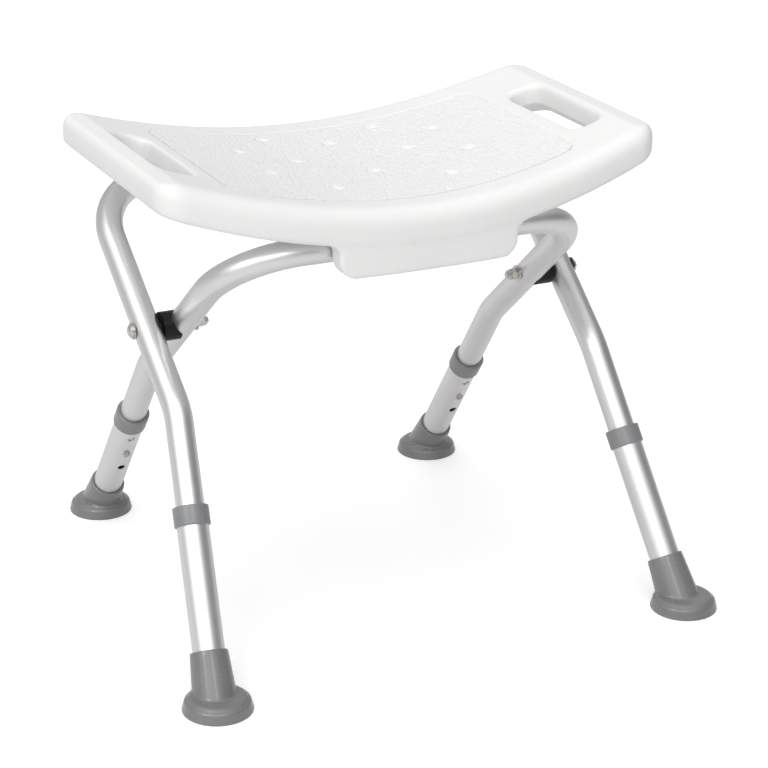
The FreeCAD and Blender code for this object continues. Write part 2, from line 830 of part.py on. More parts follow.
def dimples():
    """Give the balls that dish the seat's dimples."""
    radius = size("dimple_radius")
    sink = size("dimple_sink")
    ball = (radius ** 2 + sink ** 2) / (2 * sink)
    balls = []
    for away, rows in DIMPLE_ROWS:
        for x in sorted({-away, away}):
            height = crown_height(x) + ball - sink
            balls.extend(Part.makeSphere(ball, Vector(x, PIVOT_Y + y, height)) for y in rows)
    return balls


PAD_PLANE = OUTER.bar().z + size("hinge_pad_lift")


def hinge_screw_places():
    """Points of the hinge screws' axes on the pads' lower plane, by side."""
    places = {}
    for label, side in SIDES.items():
        centre = Vector(side * size("hinge_offset"), OUTER.bar().y, PAD_PLANE)
        offset = Vector(0, size("hinge_screw_offset"), 0)
        places[label] = [centre - offset, centre + offset]
    return places


def hinge_pads():
    """Give the flat pads under the seat that the hinge straps are screwed to."""
    pads = []
    for side in (-1, 1):
        centre = Vector(side * size("hinge_offset"), OUTER.bar().y, 0)
        half = Vector(size("hinge_width") / 2 + size("hinge_pad_margin"), size("hinge_tab"), 0)
        top = crown_height(size("hinge_offset"), size("seat_wall") / 2 - size("seat_thickness"))
        pads.append(block(centre - half + Vector(0, 0, PAD_PLANE), centre + half + Vector(0, 0, top)))
    return pads


def round_edges(solid, lift, radius):
    """Round the outer edges of the seat that lie on the crown at one lift."""
    rim = []
    for edge in solid.Edges:
        ends = [edge.valueAt(edge.FirstParameter), edge.valueAt(edge.LastParameter)]
        ends.append(edge.valueAt((edge.FirstParameter + edge.LastParameter) / 2))
        if all(abs(point.z - crown_height(point.x, lift)) < 0.05 for point in ends):
            rim.append(edge)
    return solid.makeFillet(radius, rim)


def seat_outside():
    """Give the seat's outer form, without its holes."""
    thickness = size("seat_thickness")
    shell = seat_slab(-thickness, 0).common(seat_plan(0))
    shell = round_edges(shell, 0, size("seat_top_round"))
    shell = round_edges(shell, -thickness, size("seat_low_round"))
    skirts = seat_skirt(0).common(seat_plan(size("skirt_inset"))).cut(between_bars())
    shell = shell.fuse([skirts, *hinge_pads()])
    return shell.cut(bar_channels(0))


def seat_hollow():
    """Give the closed hollow inside the seat's walls and screw bosses."""
    wall = size("seat_wall")
    thickness = size("seat_thickness")
    room = seat_slab(wall - thickness, -wall).common(seat_plan(wall + size("seat_hollow_inset")))
    bars = bar_channels(wall)
    boss = size("screw_diameter") / 2 + wall
    posts = []
    for places in hinge_screw_places().values():
        posts.extend(rod(point, Vector(0, 0, 1), boss, 2 * thickness) for point in places)
    return room.cut(bars + posts + handle_slots(wall))


def seat():
    """Give the seat: the outer form less its hollow, slots, dimples and screw holes."""
    shell = seat_outside().cut(handle_slots(0) + dimples())
    pilot = size("screw_diameter") / 2 + size("close_clearance")
    depth = size("screw_length") - size("hinge_strap") + size("screw_tip_gap")
    for places in hinge_screw_places().values():
        shell = shell.cut([rod(point, Vector(0, 0, 1), pilot, depth) for point in places])
    return solid_of(shell.cut(seat_hollow()))


feature("seat", seat())


# ---------------------------------------------------------------------------------------------
# Seat hinge: two straps round the rear crossbar, screwed to the seat
# ---------------------------------------------------------------------------------------------
def hinge_strap(label, side):
    """Make the strap that holds the seat to the rear crossbar on one side."""
    bar = OUTER.bar()
    low_x = side * size("hinge_offset") - size("hinge_width") / 2
    start = Vector(low_x, bar.y, bar.z)
    lie = Rotation(Vector(0, 0, 1), Vector(1, 0, 0))
    sleeve = primitive(
        "Cylinder", Placement(start, lie),
        Radius="upper_tube_od / 2 + bar_clearance + hinge_strap", Height="hinge_width",
    )
    tab_low = Vector(low_x, bar.y - size("hinge_tab"), PAD_PLANE - size("hinge_strap"))
    tabs = primitive(
        "Box", Placement(tab_low, Rotation()),
        Length="hinge_width", Width="2 * hinge_tab", Height="hinge_strap",
    )
    room = primitive(
        "Cylinder", Placement(start, lie), Radius="upper_tube_od / 2 + bar_clearance", Height="hinge_width",
    )
    over_low = Vector(low_x, bar.y - size("hinge_tab"), PAD_PLANE)
    above = primitive(
        "Box", Placement(over_low, Rotation()),
        Length="hinge_width", Width="2 * hinge_tab", Height="upper_tube_od",
    )
    holes = []
    for point in hinge_screw_places()[label]:
        hole = primitive(
            "Cylinder", Placement(point - Vector(0, 0, size("hinge_strap")), Rotation()),
            Radius="screw_diameter / 2 + close_clearance", Height="hinge_strap",
        )
        holes.append(hole)
    keep(cut(fuse(sleeve, tabs), room, above, *holes), "hinge_strap_" + label)


def hinge_screws(label):
    """Make one strap's two screws, heads down."""
    screws = []
    for point in hinge_screw_places()[label]:
        head_top = point - Vector(0, 0, size("hinge_strap"))
        head_low = head_top - Vector(0, 0, size("screw_head_height"))
        shank = primitive(
            "Cylinder", Placement(head_top, Rotation()), Radius="screw_diameter / 2", Height="screw_length",
        )
        head = primitive(
            "Cone", Placement(head_low, Rotation()),
            Radius1="screw_head_top", Radius2="screw_head_radius", Height="screw_head_height",
        )
        screws.append(fuse(shank, head))
    group = doc.addObject("Part::Compound", "Screws")
    group.Links = screws
    keep(group, "hinge_screws_" + label)


for side_label, side_sign in SIDES.items():
    hinge_strap(side_label, side_sign)
    hinge_screws(side_label)


# ---------------------------------------------------------------------------------------------
# Check and export
# ---------------------------------------------------------------------------------------------
doc.recompute()
failed = [item.Label for item in doc.Objects if "Invalid" in item.State or "Error" in item.State]
failed += [thing.Label for thing in parts if thing.Shape.isNull() or not thing.Shape.isValid()]
if failed:
    raise RuntimeError("these objects failed: " + ", ".join(failed))
os.makedirs("parts", exist_ok=True)
for thing in parts:
    thing.Shape.exportStep(os.path.join("parts", thing.Label + ".step"))
    print(f"{thing.Label}: {len(thing.Shape.Solids)} solid, {thing.Shape.Volume:.0f} mm3")
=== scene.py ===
"""Studio scene of the folding shower stool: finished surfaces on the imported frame.

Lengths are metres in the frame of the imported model: +Z up, +X along the seat, -Y to the front.
"""

import bmesh
import bpy
import json
import logging
import math
import numpy as np
from contextlib import contextmanager
from dataclasses import dataclass, field
from enum import Enum
from mathutils import Matrix, Quaternion, Vector
from typing import Callable, Iterator


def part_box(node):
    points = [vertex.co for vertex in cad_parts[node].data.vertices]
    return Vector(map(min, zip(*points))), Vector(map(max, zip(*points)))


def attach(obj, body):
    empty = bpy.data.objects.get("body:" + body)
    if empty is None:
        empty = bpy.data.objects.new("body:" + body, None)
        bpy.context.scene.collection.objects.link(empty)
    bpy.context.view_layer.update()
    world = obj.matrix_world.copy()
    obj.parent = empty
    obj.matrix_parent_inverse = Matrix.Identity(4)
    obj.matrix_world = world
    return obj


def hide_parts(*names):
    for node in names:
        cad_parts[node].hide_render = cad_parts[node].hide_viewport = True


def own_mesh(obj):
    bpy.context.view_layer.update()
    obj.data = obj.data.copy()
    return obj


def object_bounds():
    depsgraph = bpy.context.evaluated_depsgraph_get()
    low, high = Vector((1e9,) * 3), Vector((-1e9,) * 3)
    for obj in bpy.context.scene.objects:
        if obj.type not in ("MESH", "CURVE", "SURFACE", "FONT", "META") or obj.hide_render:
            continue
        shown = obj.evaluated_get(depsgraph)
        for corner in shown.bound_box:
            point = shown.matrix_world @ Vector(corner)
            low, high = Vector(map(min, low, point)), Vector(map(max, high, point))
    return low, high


Array = np.ndarray
Edge = bmesh.types.BMEdge
Material = bpy.types.Material
Node = bpy.types.Node
Piece = bpy.types.Object
Tree = bpy.types.NodeTree

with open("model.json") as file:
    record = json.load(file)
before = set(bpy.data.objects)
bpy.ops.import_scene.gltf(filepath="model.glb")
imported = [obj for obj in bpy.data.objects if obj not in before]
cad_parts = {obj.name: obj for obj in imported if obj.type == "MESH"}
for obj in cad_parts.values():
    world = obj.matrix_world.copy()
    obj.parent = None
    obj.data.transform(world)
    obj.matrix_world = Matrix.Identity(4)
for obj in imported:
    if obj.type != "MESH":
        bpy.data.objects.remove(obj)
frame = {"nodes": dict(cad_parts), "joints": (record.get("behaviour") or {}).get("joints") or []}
CAD_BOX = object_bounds()
LOG = logging.getLogger("shower_stool")
MM = 0.001
NEAR = MM / 10
SEAT_LOW, SEAT_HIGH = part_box("seat")
ROUND_STEPS = 64
LATHE_STEPS = 96
WEIGHT_STEPS = 8
SMOOTHING = 0.5


class Leg(Enum):
    """The four legs, by the names of their nodes."""

    FRONT_LEFT = "front_left"
    FRONT_RIGHT = "front_right"
    REAR_LEFT = "rear_left"
    REAR_RIGHT = "rear_right"


class LongSide(Enum):
    """The seat's long sides, by their direction along Y."""

    FRONT = -1
    REAR = 1


class End(Enum):
    """The seat's ends, by their direction along X."""

    LEFT = -1
    RIGHT = 1


class Along(Enum):
    """Directions of a round bar, by the turn that lays it there."""

    X = (0, math.pi / 2, 0)
    Y = (math.pi / 2, 0, 0)


class Joining(Enum):
    """Ways to combine a piece with a tool."""

    ADD = "UNION"
    CUT = "DIFFERENCE"


class Slot(Enum):
    """The record's material slots, one for each kind of new piece."""

    SEAT = "seat_plastic"
    FOOT = "foot_rubber"
    SPRING = "spring_steel"


# ---- Modelling helpers ----
def deselect() -> None:
    """Leave no object selected."""
    bpy.ops.object.select_all(action="DESELECT")


def wake(piece: Piece) -> None:
    """Make one piece the only selected object and the active one.

    Args:
        piece: the object to work on.
    """
    deselect()
    piece.select_set(True)
    bpy.context.view_layer.objects.active = piece


@contextmanager
def editing(piece: Piece) -> Iterator[None]:
    """Hold one piece in edit mode, all selected, for the work of a with block.

    Args:
        piece: the object to work on.

    Yields:
        Nothing.
    """
    wake(piece)
    bpy.ops.object.mode_set(mode="EDIT")
    bpy.ops.mesh.select_all(action="SELECT")
    yield
    bpy.ops.object.mode_set(mode="OBJECT")


def settle(name: str) -> Piece:
    """Name the object that was just added and bake its place into its mesh.

    Args:
        name: the piece's name.

    Returns:
        The object, at the origin, unturned and unscaled.
    """
    piece = bpy.context.active_object
    piece.name = name
    piece.data.name = name
    bpy.ops.object.transform_apply(location=True, rotation=True, scale=True)
    return piece


def add_block(name: str, low: Vector, high: Vector) -> Piece:
    """Add a box between two corners, as a start for a piece.

    Args:
        name: the piece's name.
        low: its lowest corner.
        high: its highest corner.

    Returns:
        The new object.
    """
    deselect()
    bpy.ops.mesh.primitive_cube_add(size=1, location=(low + high) / 2, scale=high - low)
    return settle(name)


def add_bar(name: str, centre: Vector, radius: float, length: float, along: Along) -> Piece:
    """Add a round bar, as a start for a piece or a cutter.

    Args:
        name: the piece's name.
        centre: the bar's middle.
        radius: its radius.
        length: its length.
        along: its direction.

    Returns:
        The new object.
    """
    deselect()
    bpy.ops.mesh.primitive_cylinder_add(
        vertices=ROUND_STEPS, radius=radius, depth=length, location=centre, rotation=along.value
    )
    return settle(name)


def rises(edge: Edge, least: float) -> bool:
    """Say whether an edge's ends differ in height by more than a length."""
    return abs(edge.verts[0].co.z - edge.verts[1].co.z) > least


def above(edge: Edge, height: float) -> bool:
    """Say whether an edge lies wholly above a height."""
    return all(vert.co.z > height for vert in edge.verts)


def below(edge: Edge, height: float) -> bool:
    """Say whether an edge lies wholly below a height."""
    return all(vert.co.z < height for vert in edge.verts)


def bevel_where(piece: Piece, test: Callable[[Edge], bool], offset: float, segments: int) -> None:
    """Round the edges of a piece that pass a test.

    Args:
        piece: the object.
        test: takes an edge and says whether it is rounded.
        offset: the radius of the rounding.
        segments: how many steps round it has.
    """
    with editing(piece):
        bpy.ops.mesh.select_mode(type="EDGE")
        bpy.ops.mesh.select_all(action="DESELECT")
        cage = bmesh.from_edit_mesh(piece.data)
        for edge in cage.edges:
            edge.select_set(bool(test(edge)))
        cage.select_flush_mode()
        bmesh.update_edit_mesh(piece.data)
        bpy.ops.mesh.bevel(offset=offset, segments=segments, affect="EDGES", clamp_overlap=False)


def slice_along_x(piece: Piece, reach: float, step: float) -> None:
    """Cut a piece into narrow strips across X, so that it can be curved.

    Args:
        piece: the object.
        reach: half the length that is cut.
        step: the strips' width.
    """
    count = int(reach / step)
    with editing(piece):
        for index in range(-count, count + 1):
            bpy.ops.mesh.select_all(action="SELECT")
            bpy.ops.mesh.bisect(plane_co=(index * step, 0, 0), plane_no=(1, 0, 0))


def modify(piece: Piece, kind: str, **settings: object) -> None:
    """Add a modifier to a piece and apply it.

    Args:
        piece: the object.
        kind: the modifier's type.
        settings: its properties.
    """
    wake(piece)
    modifier = piece.modifiers.new(kind.title(), kind)
    for name, value in settings.items():
        setattr(modifier, name, value)
    bpy.ops.object.modifier_apply(modifier=modifier.name)


def combine(piece: Piece, tool: Piece, how: Joining) -> None:
    """Join or cut a piece with a tool, which is then deleted.

    Args:
        piece: the object that stays.
        tool: the object that is used up.
        how: whether the tool is added or cut away.
    """
    modify(piece, "BOOLEAN", object=tool, operation=how.value, solver="EXACT")
    mesh = tool.data
    bpy.data.objects.remove(tool)
    bpy.data.meshes.remove(mesh)


def soften(piece: Piece, times: int, where: str = "") -> None:
    """Smooth a piece's mesh some times, all over or where a vertex group says."""
    modify(piece, "SMOOTH", factor=SMOOTHING, iterations=times, vertex_group=where)


def points_of(piece: Piece) -> Array:
    """Give the places of a mesh's vertices.

    Args:
        piece: the object.

    Returns:
        One row of x, y and z for each vertex.
    """
    points = np.empty(len(piece.data.vertices) * 3, np.float32)
    piece.data.vertices.foreach_get("co", points)
    return points.reshape(-1, 3).astype(float)


def set_points(piece: Piece, points: Array) -> None:
    """Move a mesh's vertices to new rows of x, y, z."""
    piece.data.vertices.foreach_set("co", points.astype(np.float32).ravel())
    piece.data.update()


def group(piece: Piece, name: str, weights: Array) -> None:
    """Give a piece a vertex group.

    Args:
        piece: the object.
        name: the group's name.
        weights: a weight for each vertex.
    """
    made = piece.vertex_groups.new(name=name)
    levels = np.rint(np.clip(weights, 0, 1) * WEIGHT_STEPS).astype(int)
    for level in range(1, WEIGHT_STEPS + 1):
        chosen = np.nonzero(levels == level)[0].tolist()
        if chosen:
            made.add(chosen, level / WEIGHT_STEPS, "REPLACE")


def ease(value: Array) -> Array:
    """Give the smooth step from 0 to 1 of a value."""
    share = np.clip(value, 0, 1)
    return share * share * (3 - 2 * share)


def lathe(name: str, outline: list[tuple[float, float]]) -> Piece:
    """Turn a closed solid about Z by extruding and scaling a disc from ring to ring.

    Args:
        name: the piece's name.
        outline: (radius, height) of each ring, from the middle of the bottom face outwards, up,
            and down into any bore. The first and last rings are closed by a face.

    Returns:
        The new object, about the origin.
    """
    deselect()
    radius, height = outline[0]
    bpy.ops.mesh.primitive_circle_add(
        vertices=LATHE_STEPS, radius=radius, fill_type="NGON", location=(0, 0, height)
    )
    piece = settle(name)
    with editing(piece):
        bpy.ops.mesh.select_mode(type="FACE")
        for next_radius, next_height in outline[1:]:
            lift = (0, 0, next_height - height)
            bpy.ops.mesh.extrude_region_move(TRANSFORM_OT_translate={"value": lift})
            scale = next_radius / radius
            bpy.ops.transform.resize(value=(scale, scale, 1))
            radius, height = next_radius, next_height
        bpy.ops.mesh.select_all(action="SELECT")
        bpy.ops.mesh.normals_make_consistent(inside=False)
    return piece


def smooth_shade(piece: Piece, degrees: float = 180.0) -> None:
    """Shade a piece smooth, except over edges sharper than an angle in degrees."""
    wake(piece)
    bpy.ops.object.shade_smooth_by_angle(angle=math.radians(degrees))


def place(piece: Piece, matrix: Matrix) -> None:
    """Move a piece's mesh, so that its object stays at the origin."""
    piece.data.transform(matrix)
    piece.data.update()


def dress(piece: Piece, material: Material) -> None:
    """Give a piece one material on all its slots.

    Args:
        piece: the object, new or from the frame.
        material: the material.
    """
    if not piece.material_slots:
        piece.data.materials.append(material)
        return
    for holder in piece.material_slots:
        holder.material = material


def hand_over(piece: Piece, body: str, slot: Slot, material: Material, *nodes: str) -> None:
    """Finish a new piece: its material, its body and the nodes that it stands for.

    Args:
        piece: the object.
        body: the body that it rides on.
        slot: the record's slot of its finish; not used.
        material: its material.
        nodes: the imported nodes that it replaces.
    """
    dress(piece, material)
    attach(piece, body)
    if nodes:
        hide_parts(*nodes)
    LOG.info("%s: %d faces, on %s", piece.name, len(piece.data.polygons), body)


# ---- Finishes ----
@dataclass
class NodeMaker:
    """A small hand for wiring shader nodes."""

    tree: Tree

    def add(
        self, kind: str, values: dict[int | str, object] | None = None, **settings: object
    ) -> Node:
        """Add a node.

        Args:
            kind: the node's type, without ShaderNode.
            values: the values of its inputs, by their names or numbers.
            settings: its properties.

        Returns:
            The node.
        """
        node = self.tree.nodes.new("ShaderNode" + kind)
        for name, value in settings.items():
            setattr(node, name, value)
        for socket, value in (values or {}).items():
            node.inputs[socket].default_value = value
        return node

    def wire(self, source: Node, output: int | str, target: Node, socket: int | str) -> None:
        """Join one node's output to another's input."""
        self.tree.links.new(source.outputs[output], target.inputs[socket])


def new_group(
    name: str, inputs: dict[str, float], outputs: tuple[str, ...]
) -> tuple[NodeMaker, Node, Node]:
    """Start a shader node group that reads a Vector and some numbers.

    Args:
        name: the group's name.
        inputs: its number inputs with their values.
        outputs: its number outputs.

    Returns:
        Its node maker, its input node and its output node.
    """
    tree = bpy.data.node_groups.new(name, "ShaderNodeTree")
    tree.interface.new_socket("Vector", in_out="INPUT", socket_type="NodeSocketVector")
    for label, value in inputs.items():
        socket = tree.interface.new_socket(label, in_out="INPUT", socket_type="NodeSocketFloat")
        socket.default_value = value
    for label in outputs:
        tree.interface.new_socket(label, in_out="OUTPUT", socket_type="NodeSocketFloat")
    return NodeMaker(tree), tree.nodes.new("NodeGroupInput"), tree.nodes.new("NodeGroupOutput")


def grain_group() -> Tree:
    """Build the fine grain: a height with two sizes of noise.

    Returns:
        The group, with Scale and Detail inputs and a Height output.
    """
    maker, start, end = new_group("FineGrain", {"Scale": 900.0, "Detail": 3.0}, ("Height",))
    fine = maker.add("TexNoise")
    coarse = maker.add("TexNoise")
    third = maker.add("Math", {1: 0.31}, operation="MULTIPLY")
    mean = maker.add("Mix", {0: 0.4})
    maker.wire(start, "Vector", fine, "Vector")
    maker.wire(start, "Vector", coarse, "Vector")
    maker.wire(start, "Scale", fine, "Scale")
    maker.wire(start, "Scale", third, 0)
    maker.wire(third, 0, coarse, "Scale")
    maker.wire(start, "Detail", fine, "Detail")
    maker.wire(fine, "Fac", mean, 2)
    maker.wire(coarse, "Fac", mean, 3)
    maker.wire(mean, 0, end, "Height")
    return maker.tree


def wear_group() -> Tree:
    """Build the handling marks: soft patches with sparse fine scuffs.

    Returns:
        The group, with Patch and Scuff inputs and Mask and Scuffs outputs.
    """
    values = {"Patch": 9.0, "Scuff": 160.0}
    maker, start, end = new_group("HandlingWear", values, ("Mask", "Scuffs"))
    patch = maker.add("TexNoise", {"Detail": 4.0, "Roughness": 0.6})
    scuff = maker.add("TexNoise", {"Detail": 8.0, "Distortion": 1.4})
    smooth = {"interpolation_type": "SMOOTHSTEP"}
    soft = maker.add("MapRange", {"From Min": 0.35, "From Max": 0.7}, **smooth)
    sparse = maker.add("MapRange", {"From Min": 0.62, "From Max": 0.74}, **smooth)
    for texture, scale in ((patch, "Patch"), (scuff, "Scuff")):
        maker.wire(start, "Vector", texture, "Vector")
        maker.wire(start, scale, texture, "Scale")
    maker.wire(patch, "Fac", soft, "Value")
    maker.wire(scuff, "Fac", sparse, "Value")
    maker.wire(soft, "Result", end, "Mask")
    maker.wire(sparse, "Result", end, "Scuffs")
    return maker.tree


def pebble_group() -> Tree:
    """Build the pebbled grip: uneven rounded cells.

    Returns:
        The group, with Scale and Wander inputs and a Height output.
    """
    maker, start, end = new_group("PebbleGrip", {"Scale": 300.0, "Wander": 0.0016}, ("Height",))
    drift = maker.add("TexNoise", {"Scale": 190.0})
    centred = maker.add("VectorMath", {1: (0.5, 0.5, 0.5)}, operation="SUBTRACT")
    shift = maker.add("VectorMath", operation="SCALE")
    moved = maker.add("VectorMath", operation="ADD")
    cells = maker.add("TexVoronoi", {"Smoothness": 0.35}, feature="SMOOTH_F1")
    crown = maker.add(
        "MapRange", {"From Min": 0.15, "From Max": 0.75, "To Min": 1.0, "To Max": 0.0},
        interpolation_type="SMOOTHSTEP",
    )
    maker.wire(start, "Vector", drift, "Vector")
    maker.wire(drift, "Color", centred, 0)
    maker.wire(centred, 0, shift, 0)
    maker.wire(start, "Wander", shift, "Scale")
    maker.wire(start, "Vector", moved, 0)
    maker.wire(shift, 0, moved, 1)
    maker.wire(moved, 0, cells, "Vector")
    maker.wire(start, "Scale", cells, "Scale")
    maker.wire(cells, "Distance", crown, "Value")
    maker.wire(crown, "Result", end, "Height")
    return maker.tree


GRAIN, WEAR, PEBBLE = grain_group(), wear_group(), pebble_group()


@dataclass(frozen=True)
class Finish:
    """One material: its base values, its grain and its wear."""

    name: str
    colour: tuple[float, float, float]
    worn: tuple[float, float, float]
    roughness: float
    rough_spread: float = 0.08
    metallic: float = 0.0
    ior: float = 1.5
    coat: float = 0.0
    coat_roughness: float = 0.16
    subsurface: float = 0.0
    subsurface_depth: float = 4.0 * MM
    grain_scale: float = 900.0
    grain_depth: float = 0.00002
    stretch: tuple[float, float, float] = (1.0, 1.0, 1.0)
    patch: float = 9.0
    scuffing: float = 0.5
    pebble_depth: float = 0.0
    pebble_scale: float = 300.0

    def build(self) -> Material:
        """Wire the material's nodes.

        Returns:
            The material.
        """
        material = bpy.data.materials.new(self.name)
        material.use_nodes = True
        maker = NodeMaker(material.node_tree)
        shader = material.node_tree.nodes["Principled BSDF"]
        for socket, value in (
            ("Metallic", self.metallic),
            ("IOR", self.ior),
            ("Coat Weight", self.coat),
            ("Coat Roughness", self.coat_roughness),
            ("Subsurface Weight", self.subsurface),
            ("Subsurface Scale", self.subsurface_depth),
        ):
            shader.inputs[socket].default_value = value
        where = maker.add("TexCoord")
        mapping = maker.add("Mapping", {"Scale": self.stretch})
        maker.wire(where, "Object", mapping, "Vector")
        wear = maker.add("Group", {"Patch": self.patch}, node_tree=WEAR)
        maker.wire(where, "Object", wear, "Vector")
        colours = {"A": (*self.colour, 1), "B": (*self.worn, 1)}
        colour = maker.add("Mix", colours, data_type="RGBA")
        maker.wire(wear, "Mask", colour, "Factor")
        maker.wire(colour, "Result", shader, "Base Color")
        smoothest, roughest = (self.roughness + end * self.rough_spread / 2 for end in (-1, 1))
        rough = maker.add("MapRange", {"To Min": smoothest, "To Max": roughest})
        scuffed = maker.add("Math", {1: self.scuffing}, operation="MULTIPLY_ADD", use_clamp=True)
        maker.wire(wear, "Scuffs", scuffed, 0)
        maker.wire(wear, "Mask", scuffed, 2)
        maker.wire(scuffed, 0, rough, "Value")
        maker.wire(rough, "Result", shader, "Roughness")
        grain = maker.add("Group", {"Scale": self.grain_scale}, node_tree=GRAIN)
        maker.wire(mapping, "Vector", grain, "Vector")
        bump = maker.add("Bump", {"Distance": self.grain_depth})
        maker.wire(grain, "Height", bump, "Height")
        if self.pebble_depth:
            pebble = maker.add("Group", {"Scale": self.pebble_scale}, node_tree=PEBBLE)
            maker.wire(where, "Object", pebble, "Vector")
            relief = maker.add("Bump", {"Distance": self.pebble_depth})
            maker.wire(pebble, "Height", relief, "Height")
            maker.wire(bump, "Normal", relief, "Normal")
            bump = relief
        maker.wire(bump, "Normal", shader, "Normal")
        return material


class Look(Enum):
    """The finishes, by the part that each one is for."""

    SEAT = Finish(
        "MouldedPolyethylene", (0.80, 0.80, 0.795), (0.775, 0.775, 0.768), 0.48,
        subsurface=0.06, grain_scale=420.0, grain_depth=0.00006, patch=6.0,
    )
    GRIP = Finish(
        "PebbledGrip", (0.80, 0.80, 0.795), (0.775, 0.775, 0.768), 0.5,
        subsurface=0.06, grain_scale=900.0, grain_depth=0.00004, patch=6.0,
        pebble_depth=0.00045, pebble_scale=290.0,
    )
    FRAME = Finish(
        "SatinAnodisedTube", (0.80, 0.802, 0.806), (0.785, 0.788, 0.793), 0.36,
        rough_spread=0.04, scuffing=0.0, metallic=1.0, grain_scale=2600.0,
        grain_depth=0.000006, patch=22.0,
    )
    LEG = Finish(
        "SatinAnodisedLeg", (0.81, 0.812, 0.816), (0.795, 0.798, 0.803), 0.38,
        rough_spread=0.04, scuffing=0.0, metallic=1.0, grain_scale=2200.0,
        grain_depth=0.000007, patch=26.0,
    )
    COLLAR = Finish(
        "CollarNylon", (0.222, 0.225, 0.229), (0.206, 0.209, 0.213), 0.32,
        rough_spread=0.03, scuffing=0.0, coat=0.3, grain_scale=1500.0,
        grain_depth=0.00007, stretch=(0.08, 0.08, 1.0), patch=60.0,
    )
    FOOT = Finish(
        "FootRubber", (0.178, 0.18, 0.183), (0.163, 0.165, 0.168), 0.28,
        rough_spread=0.03, scuffing=0.0, coat=0.6, grain_scale=900.0,
        grain_depth=0.00012, stretch=(1.0, 1.0, 0.07), patch=35.0,
    )
    SPACER = Finish(
        "SpacerNylon", (0.006, 0.006, 0.0062), (0.01, 0.01, 0.0104), 0.4,
        ior=1.3, grain_scale=1800.0, grain_depth=0.00003, patch=60.0,
    )
    ZINC = Finish(
        "ZincPlate", (0.68, 0.67, 0.65), (0.52, 0.505, 0.48), 0.2,
        metallic=1.0, grain_scale=3000.0, grain_depth=0.000008, patch=90.0,
    )
    SPRING = Finish(
        "SpringSteel", (0.62, 0.58, 0.52), (0.46, 0.42, 0.37), 0.22,
        metallic=1.0, grain_scale=3200.0, grain_depth=0.000008, patch=90.0,
    )
    INSERT = Finish(
        "InsertNylon", (0.80, 0.80, 0.78), (0.74, 0.74, 0.71), 0.42,
        subsurface=0.1, grain_scale=2000.0, grain_depth=0.00002, patch=60.0,
    )


# ---- Seat ----
@dataclass
class SeatForm:
    """Lines that the seat's shell and its grip panel share."""

    half_width: float = (SEAT_HIGH.x - SEAT_LOW.x) / 2
    middle_y: float = (SEAT_HIGH.y + SEAT_LOW.y) / 2
    full_depth: float = (SEAT_HIGH.y - SEAT_LOW.y) / 2
    bow: float = 23.8 * MM
    rise: float = 49.9 * MM
    rise_ease: float = 3.7 * MM
    crown_z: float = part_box("outer_frame_tube")[1].z + 17.0 * MM
    thickness: float = 33.0 * MM
    panel_half_width: float = 169.0 * MM
    panel_front: float = -104.0 * MM
    panel_rear: float = 108.0 * MM
    panel_bow: float = 12.0 * MM
    panel_corner: float = 15.0 * MM

    def crown(self, x: Array) -> Array:
        """Rise of the seat's top above its middle, at a distance from the middle."""
        share = (x / self.half_width) ** 2
        return self.rise * share - self.rise_ease * share**2

    def plan_edge(self, x: Array) -> Array:
        """Distance from the seat's middle line to its bowed front or rear edge."""
        return self.full_depth - self.bow * (x / self.half_width) ** 2

    def inside_panel(self, x: Array, y: Array) -> Array:
        """Give the distance inside the grip panel's outline.

        Args:
            x: the points' places along the seat.
            y: the points' places across it.

        Returns:
            The distances, negative outside the outline.
        """
        middle = (self.panel_front + self.panel_rear) / 2
        share = np.clip(x / self.panel_half_width, -1, 1) ** 2
        half_y = (self.panel_rear - self.panel_front) / 2 + self.panel_bow * (1 - share)
        over_x = np.abs(x) - self.panel_half_width + self.panel_corner
        over_y = np.abs(y - middle) - half_y + self.panel_corner
        outer = np.hypot(np.maximum(over_x, 0), np.maximum(over_y, 0))
        return self.panel_corner - outer - np.minimum(np.maximum(over_x, over_y), 0)


